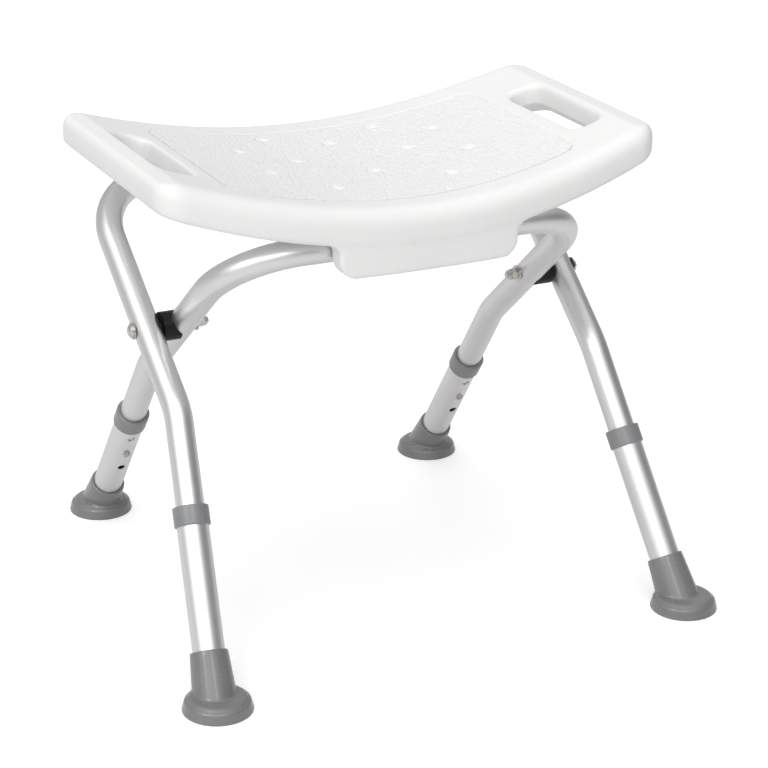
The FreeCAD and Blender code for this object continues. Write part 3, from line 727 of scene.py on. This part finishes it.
@dataclass
class SeatShell:
    """The blow-moulded seat: crowned slab, two skirts, hand slots and crossbar channels."""

    form: SeatForm = field(default_factory=SeatForm)
    corner: float = 22.0 * MM
    corner_steps: int = 12
    top_round: float = 17.0 * MM
    top_steps: int = 8
    low_round: float = 5.0 * MM
    low_steps: int = 3
    strip: float = 9.0 * MM
    skirt_half: float = 87.0 * MM
    skirt_low: float = SEAT_LOW.z
    skirt_corner: float = 17.0 * MM
    skirt_blend: float = 11.0 * MM
    skirt_inset: float = 1.2 * MM
    skirt_overlap: float = 0.4
    overcut: float = 4.0
    slot_x: float = 202.5 * MM
    slot_y: float = -1.485 * MM
    slot_size: tuple[float, float] = (33.0 * MM, 131.0 * MM)
    slot_corner: float = 14.0 * MM
    inner_steps: int = 10
    tube_room: float = 14.3 * MM
    rear_bar: tuple[float, float] = (127.48 * MM, 374.0 * MM)
    front_bar: tuple[float, float] = (-112.86 * MM, 366.0 * MM)
    front_relief: float = 6.0 * MM
    pad_x: float = 112.0 * MM
    pad_half: tuple[float, float] = (12.0 * MM, 26.0 * MM)
    pad_z: float = 376.0 * MM
    pocket_depth: float = 2.8 * MM
    pocket_margin: float = 1.0 * MM
    pocket_slope: float = 1.5 * MM
    pinch_reach: float = 16.0 * MM
    pinch_rise: float = 11.0 * MM
    pinch_level: float = 0.45
    pinch_span: float = 0.5
    headroom: float = 0.2 * MM
    voxel: float = 2.2 * MM
    smoothing: int = 5
    rim_smoothing: int = 24
    rim_reach: float = 9.0 * MM
    rim_fade: float = 1.3

    def slab(self) -> Piece:
        """Model the slab flat, round its edges, then bow and crown it.

        Returns:
            The slab.
        """
        form = self.form
        half = Vector((form.half_width, form.full_depth - form.bow, form.thickness))
        low = Vector((-half.x, form.middle_y - half.y, form.crown_z - half.z))
        high = Vector((half.x, form.middle_y + half.y, form.crown_z))
        slab = add_block("seat_shell", low, high)
        bevel_where(slab, lambda e: rises(e, half.z / 2), self.corner, self.corner_steps)
        bevel_where(slab, lambda e: above(e, high.z - NEAR), self.top_round, self.top_steps)
        bevel_where(slab, lambda e: below(e, low.z + NEAR), self.low_round, self.low_steps)
        slice_along_x(slab, form.half_width, self.strip)
        points = points_of(slab)
        share = (points[:, 0] / form.half_width) ** 2
        points[:, 1] += np.sign(points[:, 1] - form.middle_y) * form.bow * (1 - share)
        points[:, 2] += form.crown(points[:, 0])
        set_points(slab, points)
        return slab

    def skirt(self, side: LongSide) -> Piece:
        """Model the skirt that covers one crossbar.

        Args:
            side: the side that it hangs on.

        Returns:
            The skirt, reaching up into the slab.
        """
        form, out = self.form, side.value
        bar_y = (self.front_bar if side is LongSide.FRONT else self.rear_bar)[0]
        outer = form.middle_y + out * form.full_depth
        near, far = sorted((bar_y + out * self.tube_room * self.skirt_overlap, outer))
        top = form.crown_z - form.thickness / 2
        low = Vector((-self.skirt_half, near, self.skirt_low))
        skirt = add_block("skirt", low, Vector((self.skirt_half, far, top)))
        bevel_where(
            skirt,
            lambda e: below(e, low.z + NEAR) and abs(e.verts[0].co.x - e.verts[1].co.x) < MM,
            self.skirt_corner, self.inner_steps,
        )
        wide = self.skirt_half + self.skirt_blend
        root = form.crown_z - form.thickness + float(form.crown(wide)) - self.skirt_blend
        web = add_block("web", Vector((-wide, near, root)), Vector((wide, far, top)))
        for end in End:
            centre = Vector((end.value * wide, (near + far) / 2, root))
            length = self.overcut * (far - near)
            scoop = add_bar("scoop", centre, self.skirt_blend, length, Along.Y)
            combine(web, scoop, Joining.CUT)
        combine(skirt, web, Joining.ADD)
        slice_along_x(skirt, wide, self.strip)
        points = points_of(skirt)
        face = np.abs(points[:, 1] - outer) < NEAR
        edge = form.plan_edge(points[:, 0]) - self.skirt_inset
        points[face, 1] = form.middle_y + out * edge[face]
        set_points(skirt, points)
        return skirt

    def channel(self, bar: tuple[float, float], relief: float) -> Piece:
        """Model the room of one crossbar, open downwards.

        Args:
            bar: the bar's y and z.
            relief: how far the room also opens to the rear.

        Returns:
            The cutter.
        """
        reach = self.form.half_width
        y, z = bar
        room = add_bar("room", Vector((0, y, z)), self.tube_room, 2 * reach, Along.X)
        drop = self.form.thickness + (z - self.skirt_low)
        low = Vector((-reach, y - self.tube_room, z - drop))
        combine(room, add_block("drop", low, Vector((reach, y + self.tube_room, z))), Joining.ADD)
        if relief:
            high = Vector((reach, y + self.tube_room + relief, z + self.tube_room - relief))
            combine(room, add_block("relief", low, high), Joining.ADD)
        return room

    def slot(self, end: End) -> Piece:
        """Model the cutter of one hand slot.

        Args:
            end: the end that it is for.

        Returns:
            The cutter.
        """
        half = Vector((self.slot_size[0] / 2, self.slot_size[1] / 2, 0))
        centre = Vector((end.value * self.slot_x, self.slot_y, 0))
        crown_z = self.form.crown_z
        slot = add_block("hand_slot", centre - half, centre + half + Vector((0, 0, 2 * crown_z)))
        bevel_where(slot, lambda e: rises(e, crown_z), self.slot_corner, self.inner_steps)
        return slot

    def from_slot(self, points: Array) -> Array:
        """Give the distance of points outside the nearer hand slot's wall, seen from above.

        Args:
            points: one row of x, y and z for each point.

        Returns:
            The distances, negative inside the slot.
        """
        corner, (long_x, long_y) = self.slot_corner, self.slot_size
        over_x = np.abs(np.abs(points[:, 0]) - self.slot_x) - long_x / 2 + corner
        over_y = np.abs(points[:, 1] - self.slot_y) - long_y / 2 + corner
        outer = np.hypot(np.maximum(over_x, 0), np.maximum(over_y, 0))
        return outer + np.minimum(np.maximum(over_x, over_y), 0) - corner

    def build(self, material: Material) -> None:
        """Join the seat's forms, soften them as a moulding and hand the shell over.

        Args:
            material: the seat's plastic.
        """
        form = self.form
        shell = self.slab()
        for side in LongSide:
            combine(shell, self.skirt(side), Joining.ADD)
        pad_top = form.crown_z - form.thickness / 3
        for end in End:
            x, y = end.value * self.pad_x, self.rear_bar[0]
            low = Vector((x - self.pad_half[0], y - self.pad_half[1], self.pad_z))
            high = Vector((x + self.pad_half[0], y + self.pad_half[1], pad_top))
            combine(shell, add_block("pad", low, high), Joining.ADD)
            combine(shell, self.slot(end), Joining.CUT)
        combine(shell, self.channel(self.rear_bar, 0), Joining.CUT)
        combine(shell, self.channel(self.front_bar, self.front_relief), Joining.CUT)
        modify(shell, "REMESH", mode="VOXEL", voxel_size=self.voxel)
        soften(shell, self.smoothing)
        rim = ease(self.rim_fade - np.abs(self.from_slot(points_of(shell))) / self.rim_reach)
        group(shell, "slot_rim", rim)
        soften(shell, self.rim_smoothing, "slot_rim")
        points = points_of(shell)
        x, y, z = points[:, 0], points[:, 1], points[:, 2]
        depth = -(z - form.crown_z - form.crown(x)) / form.thickness
        under = ease((depth - self.pinch_level) / self.pinch_span)
        z += ease(1 - self.from_slot(points) / self.pinch_reach) * under * self.pinch_rise
        points[:, 2] = np.minimum(z, CAD_BOX[1][2] - self.headroom)
        inside = form.inside_panel(x, y)
        upper = z > form.crown_z + form.crown(x) - form.thickness / 3
        sunk = ease((inside + self.pocket_margin) / self.pocket_slope) * self.pocket_depth
        z -= np.where(upper, sunk, 0)
        set_points(shell, points)
        smooth_shade(shell)
        hand_over(shell, "seat", Slot.SEAT, material, "seat")


@dataclass
class GripPanel:
    """The pebbled panel on the seat's top, with its dished dimples."""

    form: SeatForm = field(default_factory=SeatForm)
    step: float = 1.35 * MM
    proud: float = 0.2 * MM
    thick: float = 2.2 * MM
    pebble_size: float = 3.6 * MM
    pebble_high: float = 0.7 * MM
    dimple_radius: float = 8.4 * MM
    dimple_depth: float = 2.0 * MM
    dimple_lip: tuple[float, float] = (1.6, 1.5)
    calm_depth: float = 0.5 * MM
    margin: float = 1.2 * MM
    margin_fade: float = 2.0 * MM
    rim_start: float = 0.2 * MM
    rim_width: float = 1.6 * MM
    crease: float = 50.0
    dimples: tuple[tuple[float, tuple[float, ...]], ...] = (
        (100.0 * MM, (-22.0 * MM, 50.0 * MM)),
        (57.0 * MM, (-73.0 * MM, 18.0 * MM, 97.0 * MM)),
        (0.0, (-29.5 * MM, 69.5 * MM)),
    )

    def dish(self, x: Array, y: Array) -> Array:
        """Give the depth of the dimples at points of the panel.

        Args:
            x: the points' places along the seat.
            y: the points' places across it.

        Returns:
            The depths.
        """
        lip, fall = self.dimple_lip
        depth = np.zeros_like(x)
        for away, rows in self.dimples:
            for centre_x in sorted({-away, away}):
                for centre_y in rows:
                    far = np.hypot(x - centre_x, y - centre_y) / self.dimple_radius
                    bowl = np.clip(1 - far**2, 0, 1)
                    depth = np.maximum(depth, self.dimple_depth * bowl * ease(lip - fall * far))
        return depth

    def pebble(self, panel: Piece) -> None:
        """Raise the pebbles on the panel's top, but not on its rim or in its dimples.

        Args:
            panel: the thickened panel.
        """
        form = self.form
        points = points_of(panel)
        x, y = points[:, 0], points[:, 1]
        dished = self.dish(x, y)
        top = points[:, 2] > form.crown_z + form.crown(x) - dished - self.thick / 2
        calm = 1 - ease(dished / self.calm_depth)
        inner = ease((form.inside_panel(x, y) - self.margin) / self.margin_fade)
        group(panel, "pebbled", inner * top * calm)
        texture = bpy.data.textures.new("pebbles", "VORONOI")
        texture.noise_scale = self.pebble_size
        modify(
            panel, "DISPLACE", texture=texture, texture_coords="LOCAL", direction="Z",
            strength=-self.pebble_high, mid_level=0.5, vertex_group="pebbled",
        )

    def shape(self, points: Array, half_y: float) -> Array:
        """Round a flat grid's corners, bow its long sides, and lay it on the dished crown.

        Args:
            points: the flat grid's points.
            half_y: half its width.

        Returns:
            The points in place.
        """
        form, corner = self.form, self.form.panel_corner
        u = (np.abs(points[:, 0]) - form.panel_half_width + corner) / corner
        v = (np.abs(points[:, 1]) - half_y + corner) / corner
        both = (u > 0) & (v > 0)
        turned_u = np.where(both, u * np.sqrt(np.clip(1 - v**2 / 2, 0, 1)), u)
        turned_v = np.where(both, v * np.sqrt(np.clip(1 - u**2 / 2, 0, 1)), v)
        x = np.sign(points[:, 0]) * (form.panel_half_width + (turned_u - 1) * corner)
        flat_y = half_y + (turned_v - 1) * corner
        share = np.clip(x / form.panel_half_width, -1, 1) ** 2
        bowed = flat_y * (1 + form.panel_bow * (1 - share) / half_y)
        y = (form.panel_front + form.panel_rear) / 2 + np.sign(points[:, 1]) * bowed
        inside = form.inside_panel(x, y)
        rim = self.proud * (1 - ease((inside + self.rim_start) / self.rim_width))
        z = form.crown_z + form.crown(x) + self.proud - rim - self.dish(x, y)
        return np.column_stack((x, y, z))

    def build(self, material: Material) -> None:
        """Lay a fine grid on the crown, thicken it and raise its pebbles.

        Args:
            material: the pebbled plastic.
        """
        form = self.form
        half_y = (form.panel_rear - form.panel_front) / 2
        columns = int(2 * form.panel_half_width / self.step)
        rows = int(2 * half_y / self.step)
        deselect()
        bpy.ops.mesh.primitive_grid_add(x_subdivisions=columns, y_subdivisions=rows, size=2)
        bpy.ops.transform.resize(value=(form.panel_half_width, half_y, 1))
        panel = settle("seat_grip_panel")
        set_points(panel, self.shape(points_of(panel), half_y))
        sink = {"value": (0, 0, -self.thick)}
        with editing(panel):
            bpy.ops.mesh.select_mode(type="FACE")
            bpy.ops.mesh.extrude_region_move(TRANSFORM_OT_translate=sink)
            bpy.ops.mesh.select_all(action="SELECT")
            bpy.ops.mesh.normals_make_consistent(inside=False)
        self.pebble(panel)
        smooth_shade(panel, self.crease)
        hand_over(panel, "seat", Slot.SEAT, material)


# ---- Legs ----
@dataclass
class LegSet:
    """The four telescoping legs: tubes, collars, buttons and rubber feet.

    Each row of rim_rounding is a ring of the flange: how far out from the rim and how far below
    its top. Each row of neck_top is a ring of the neck: how far below the top its flare is
    taken, how deep it is cut in, and how far below the top it is.
    """

    rim_high: float = 10.4 * MM
    rim_radius: float = 29.2 * MM
    shoulder_high: float = 2.6 * MM
    shoulder_radius: float = 24.5 * MM
    root_radius: float = 20.3 * MM
    neck_radius: float = 16.9 * MM
    neck_high: float = 48.3 * MM
    neck_wall: float = 2.5 * MM
    bore_low: float = 15.5 * MM
    bore_margin: float = 1.0 * MM
    sole_radius: float = 21.0 * MM
    sole_deep: float = 1.2 * MM
    sole_edge: float = 0.6 * MM
    rim_rounding: tuple[tuple[float, float], ...] = (
        (0.2 * MM, 1.6 * MM), (-0.5 * MM, 0.4 * MM), (-1.8 * MM, 0.0),
    )
    neck_top: tuple[tuple[float, float, float], ...] = (
        (2.6 * MM, 0.0, 2.6 * MM),
        (2.3 * MM, 0.45 * MM, 2.2 * MM),
        (1.7 * MM, 0.45 * MM, 1.7 * MM),
        (1.3 * MM, 0.0, 1.3 * MM),
        (0.0, 0.0, 0.5 * MM),
        (0.0, 0.5 * MM, 0.0),
    )
    root_reach: float = 3.2 * MM
    root_fade: float = 1.5
    smoothing: int = 2
    root_smoothing: int = 14
    voxel: float = 0.75 * MM
    press_travel: float = 4.5 * MM
    weld: float = 0.01 * MM
    crease: float = 35.0
    carried: tuple[tuple[str, Look], ...] = (
        ("leg_tube", Look.LEG), ("leg_collar", Look.COLLAR), ("foot_washer", Look.ZINC),
    )

    def joint_axis(self, name: str) -> Vector:
        """Give the direction of a joint's axis."""
        return Vector(next(j for j in frame["joints"] if j["name"] == name)["axis"]).normalized()

    def axis(self, leg: Leg) -> tuple[Vector, Vector]:
        """Find a leg's axis.

        Args:
            leg: the leg.

        Returns:
            The point where the axis meets the floor, and the direction up the leg.
        """
        up = -self.joint_axis(leg.value + "_height")
        low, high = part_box(leg.value + "_leg_tube")
        middle = (low + high) / 2
        return middle - up * (middle.z / up.z), up

    def outside(self, height: float) -> float:
        """Give the neck's radius at a height along it."""
        slope = (self.neck_radius - self.root_radius) / self.neck_high
        return self.root_radius + slope * height

    def neck(self, start: Vector, up: Vector) -> Piece:
        """Model a foot's flared neck along the leg's axis, cut off level inside the flange.

        Args:
            start: the point where the axis meets the floor.
            up: the direction up the leg.

        Returns:
            The neck, with its bore.
        """
        top, bore = self.neck_high, self.neck_radius - self.neck_wall
        rings = [(self.outside(top - at) - cut, top - down) for at, cut, down in self.neck_top]
        neck = lathe("neck", [(self.outside(0), 0.0), *rings, (bore, top), (bore, self.bore_low)])
        lean = Vector((0, 0, 1)).rotation_difference(up).to_matrix().to_4x4()
        place(neck, Matrix.Translation(start) @ lean)
        level = (0, 0, self.rim_high / 2)
        with editing(neck):
            bpy.ops.mesh.bisect(plane_co=level, plane_no=(0, 0, 1), use_fill=True, clear_inner=True)
        return neck

    def foot(self, leg: Leg, material: Material) -> None:
        """Model one rubber foot: a round flange with a flared, tilted neck.

        Args:
            leg: the leg.
            material: the rubber.
        """
        low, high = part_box(leg.value + "_foot")
        radius = (high.x - low.x) / 2
        front = leg in (Leg.FRONT_LEFT, Leg.FRONT_RIGHT)
        centre = Vector(((low.x + high.x) / 2, low.y + radius if front else high.y - radius, 0))
        foot = lathe(leg.value + "_rubber_foot", [
            (self.sole_radius, self.sole_deep),
            (self.sole_radius, 0.0),
            (radius - self.sole_edge, 0.0),
            (radius, self.sole_edge),
            *((self.rim_radius + out, self.rim_high - down) for out, down in self.rim_rounding),
            (self.shoulder_radius, self.rim_high + self.shoulder_high),
        ])
        place(foot, Matrix.Translation(centre))
        start, up = self.axis(leg)
        combine(foot, self.neck(start, up), Joining.ADD)
        modify(foot, "REMESH", mode="VOXEL", voxel_size=self.voxel)
        soften(foot, self.smoothing)
        points = points_of(foot)
        offset = points - np.array(start)
        along = offset @ np.array(up)
        away = np.linalg.norm(offset - np.outer(along, np.array(up)), axis=1)
        level = np.abs(points[:, 2] - self.rim_high - self.shoulder_high / 2)
        outer = away > self.neck_radius - self.neck_wall + self.bore_margin
        group(foot, "root", ease(self.root_fade - level / self.root_reach) * outer)
        soften(foot, self.root_smoothing, "root")
        smooth_shade(foot)
        hand_over(foot, leg.value + "_leg", Slot.FOOT, material, leg.value + "_foot")

    def button(self, leg: Leg, material: Material) -> None:
        """Copy one snap button as a spring piece of its own, on the button's body.

        Args:
            leg: the leg.
            material: the spring steel.
        """
        deselect()
        node, joint = leg.value + "_snap_button", leg.value + "_press"
        spring = frame["nodes"][node].copy()
        spring.data = spring.data.copy()
        spring.parent = None
        spring.name = leg.value + "_button_spring"
        spring.matrix_world = Matrix.Identity(4)
        bpy.context.scene.collection.objects.link(spring)
        with editing(spring):
            bpy.ops.mesh.remove_doubles(threshold=self.weld)
        smooth_shade(spring, self.crease)
        hand_over(spring, leg.value + "_button", Slot.SPRING, material, node)
        inward = self.joint_axis(joint)
        points = points_of(spring)
        depth = points @ np.array(inward)
        tip = points[depth.argmin()].tolist()
        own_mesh(spring)

    def build(self, materials: dict[Look, Material]) -> None:
        """Make the feet and buttons and dress the legs' other parts.

        Args:
            materials: the materials by their finish.
        """
        for leg in Leg:
            self.foot(leg, materials[Look.FOOT])
            self.button(leg, materials[Look.SPRING])
            for part, look in self.carried:
                dress(frame["nodes"][f"{leg.value}_{part}"], materials[look])
            LOG.info("%s leg dressed", leg.value)


# ---- Frames, pivots and hinge ----
@dataclass
class Structure:
    """The two bent frames, their pivots and the seat's hinge."""

    parts: tuple[tuple[str, Look], ...] = (
        ("frame_tube", Look.FRAME),
        ("pivot_bolt", Look.ZINC),
        ("washer", Look.ZINC),
        ("pivot_nut", Look.ZINC),
        ("nut_insert", Look.INSERT),
        ("pivot_spacer", Look.SPACER),
        ("hinge_strap", Look.SPACER),
        ("hinge_screws", Look.ZINC),
    )

    def build(self, materials: dict[Look, Material]) -> None:
        """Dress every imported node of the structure.

        Args:
            materials: the materials by their finish.
        """
        for name, node in frame["nodes"].items():
            for part, look in self.parts:
                if part in name and "foot" not in name:
                    dress(node, materials[look])
                    LOG.info("%s: %s", name, look.name)


# ---- Studio ----
class Glow(Enum):
    """What a lamp does: light the surfaces, or only show in glossy ones."""

    LIGHT = "light"
    GLINT = "glint"


@dataclass(frozen=True)
class Softbox:
    """One rectangular lamp: its place, its width and height, its power and its use."""

    name: str
    place: tuple[float, float, float]
    size: tuple[float, float]
    watts: float
    glow: Glow

    def hang(self, target: Vector) -> None:
        """Hang the lamp.

        Args:
            target: the point that it faces.
        """
        data = bpy.data.lights.new(self.name, "AREA")
        data.shape = "RECTANGLE"
        data.size, data.size_y = self.size
        data.energy = self.watts
        lamp = bpy.data.objects.new(self.name, data)
        bpy.context.scene.collection.objects.link(lamp)
        lamp.location = self.place
        lamp.visible_glossy = self.glow is Glow.GLINT
        lamp.visible_diffuse = self.glow is Glow.LIGHT
        lamp.rotation_mode = "QUATERNION"
        lamp.rotation_quaternion = (Vector(self.place) - target).to_track_quat("Z", "Y")


@dataclass
class Studio:
    """Pale floor, soft lights and the camera.

    Each row of sky_lobes is a soft glow of the room: its direction, the cosines where it starts
    and where it is full, and its strength.
    """

    target: Vector = field(default_factory=lambda: Vector((0.01544, -0.02405, 0.19096)))
    azimuth: float = -25.98
    elevation: float = 21.41
    roll: float = 0.62
    distance: float = 2.3
    lens: float = 114.03
    film: float = 36.0
    floor_half: float = 12.0
    floor_roughness: float = 0.7
    floor_shine: float = 0.1
    floor_seen: tuple[float, float, float] = (0.78, 0.78, 0.78)
    bright_side: tuple[float, float, float] = (-0.6, -1.0, 0.0)
    glow_range: tuple[float, float] = (-0.2, 0.95)
    floor_glow: tuple[float, float] = (0.12, 0.16)
    floor_bounce: tuple[float, float, float] = (0.6, 0.6, 0.6)
    floor_lift: float = 0.37
    sky_base: float = 0.24
    sky_lobes: tuple[tuple[tuple[float, float, float], float, float, float], ...] = (
        ((0.0, 0.0, 1.0), 0.6, 1.0, 0.85),
        ((-0.67, -0.35, 0.62), 0.7, 0.98, 0.8),
        ((-0.2, -0.74, 0.64), 0.7, 0.98, 0.85),
        ((-1.0, 0.2, 0.1), 0.3, 1.0, 0.3),
        ((0.3, 1.0, 0.2), 0.3, 1.0, 0.25),
    )
    lamps: tuple[Softbox, ...] = (
        Softbox("key", (-1.4, -1.7, 0.95), (1.1, 1.1), 9.0, Glow.LIGHT),
        Softbox("top", (0.1, 0.3, 2.8), (2.2, 2.2), 19.0, Glow.LIGHT),
        Softbox("left_strip", (-1.4, -0.64, 1.48), (0.35, 1.0), 6.6, Glow.GLINT),
        Softbox("front_strip", (-0.37, -1.5, 1.48), (0.25, 1.0), 2.5, Glow.GLINT),
    )

    def camera(self) -> None:
        """Set up the camera."""
        a, e = math.radians(self.azimuth), math.radians(self.elevation)
        back = Vector((math.sin(a) * math.cos(e), -math.cos(a) * math.cos(e), math.sin(e)))
        data = bpy.data.cameras.new("camera")
        data.lens = self.lens
        data.sensor_width = self.film
        camera = bpy.data.objects.new("camera", data)
        bpy.context.scene.collection.objects.link(camera)
        camera.rotation_mode = "QUATERNION"
        camera.location = self.target + back * self.distance
        aim = back.to_track_quat("Z", "Y")
        camera.rotation_quaternion = aim @ Quaternion((0, 0, 1), math.radians(self.roll))
        bpy.context.scene.camera = camera

    def floor(self) -> None:
        """Lay the floor: white to the eye, and in the metal brightest to the front left."""
        deselect()
        bpy.ops.mesh.primitive_plane_add(size=2 * self.floor_half, location=(0, 0, 0))
        floor = settle("studio_floor")
        material = bpy.data.materials.new("PaleFloor")
        material.use_nodes = True
        maker = NodeMaker(material.node_tree)
        shader = material.node_tree.nodes["Principled BSDF"]
        shader.inputs["Roughness"].default_value = self.floor_roughness
        shader.inputs["Specular IOR Level"].default_value = self.floor_shine
        shader.inputs["Emission Color"].default_value = (1, 1, 1, 1)
        where = maker.add("TexCoord")
        outward = maker.add("VectorMath", operation="NORMALIZE")
        side = {1: Vector(self.bright_side).normalized()}
        facing = maker.add("VectorMath", side, operation="DOT_PRODUCT")
        ends = dict(zip(("From Min", "From Max", "To Min", "To Max"),
                        self.glow_range + self.floor_glow))
        glow = maker.add("MapRange", ends, interpolation_type="SMOOTHSTEP")
        path = maker.add("LightPath")
        seen = maker.add("Mix", {"B": self.floor_lift})
        tones = {"A": (*self.floor_bounce, 1), "B": (*self.floor_seen, 1)}
        tone = maker.add("Mix", tones, data_type="RGBA")
        maker.wire(path, "Is Camera Ray", tone, "Factor")
        maker.wire(tone, "Result", shader, "Base Color")
        maker.wire(where, "Object", outward, 0)
        maker.wire(outward, 0, facing, 0)
        maker.wire(facing, "Value", glow, "Value")
        maker.wire(glow, "Result", seen, "A")
        maker.wire(path, "Is Camera Ray", seen, "Factor")
        maker.wire(seen, "Result", shader, "Emission Strength")
        dress(floor, material)

    def sky(self) -> None:
        """Light the room: bright from above and the front left, dim elsewhere."""
        world = bpy.data.worlds.new("studio")
        bpy.context.scene.world = world
        world.use_nodes = True
        maker = NodeMaker(world.node_tree)
        background = world.node_tree.nodes["Background"]
        where = maker.add("TexCoord")
        total = None
        for direction, low, high, strength in self.sky_lobes:
            way = {1: Vector(direction).normalized()}
            facing = maker.add("VectorMath", way, operation="DOT_PRODUCT")
            base = 0.0 if total else self.sky_base
            lobe = maker.add(
                "MapRange",
                {"From Min": low, "From Max": high, "To Min": base, "To Max": strength},
                interpolation_type="SMOOTHSTEP",
            )
            maker.wire(where, "Generated", facing, 0)
            maker.wire(facing, "Value", lobe, "Value")
            if total:
                adder = maker.add("Math", operation="ADD")
                maker.wire(total, 0, adder, 0)
                maker.wire(lobe, 0, adder, 1)
                total = adder
            else:
                total = lobe
        path = maker.add("LightPath")
        seen = maker.add("Mix", {"B": 1.0})
        maker.wire(path, "Is Camera Ray", seen, "Factor")
        maker.wire(total, 0, seen, "A")
        maker.wire(seen, "Result", background, "Strength")
        background.inputs["Color"].default_value = (1, 1, 1, 1)

    def build(self) -> None:
        """Set up the whole studio."""
        self.camera()
        self.floor()
        self.sky()
        for lamp in self.lamps:
            lamp.hang(self.target)
        bpy.context.scene.view_settings.view_transform = "Standard"


def main() -> None:
    """Build the stool and the studio."""
    logging.basicConfig(level=logging.INFO, format="%(name)s: %(message)s")
    materials = {look: look.value.build() for look in Look}
    SeatShell().build(materials[Look.SEAT])
    GripPanel().build(materials[Look.GRIP])
    LegSet().build(materials)
    Structure().build(materials)
    Studio().build()


if __name__ == "__main__":
    main()
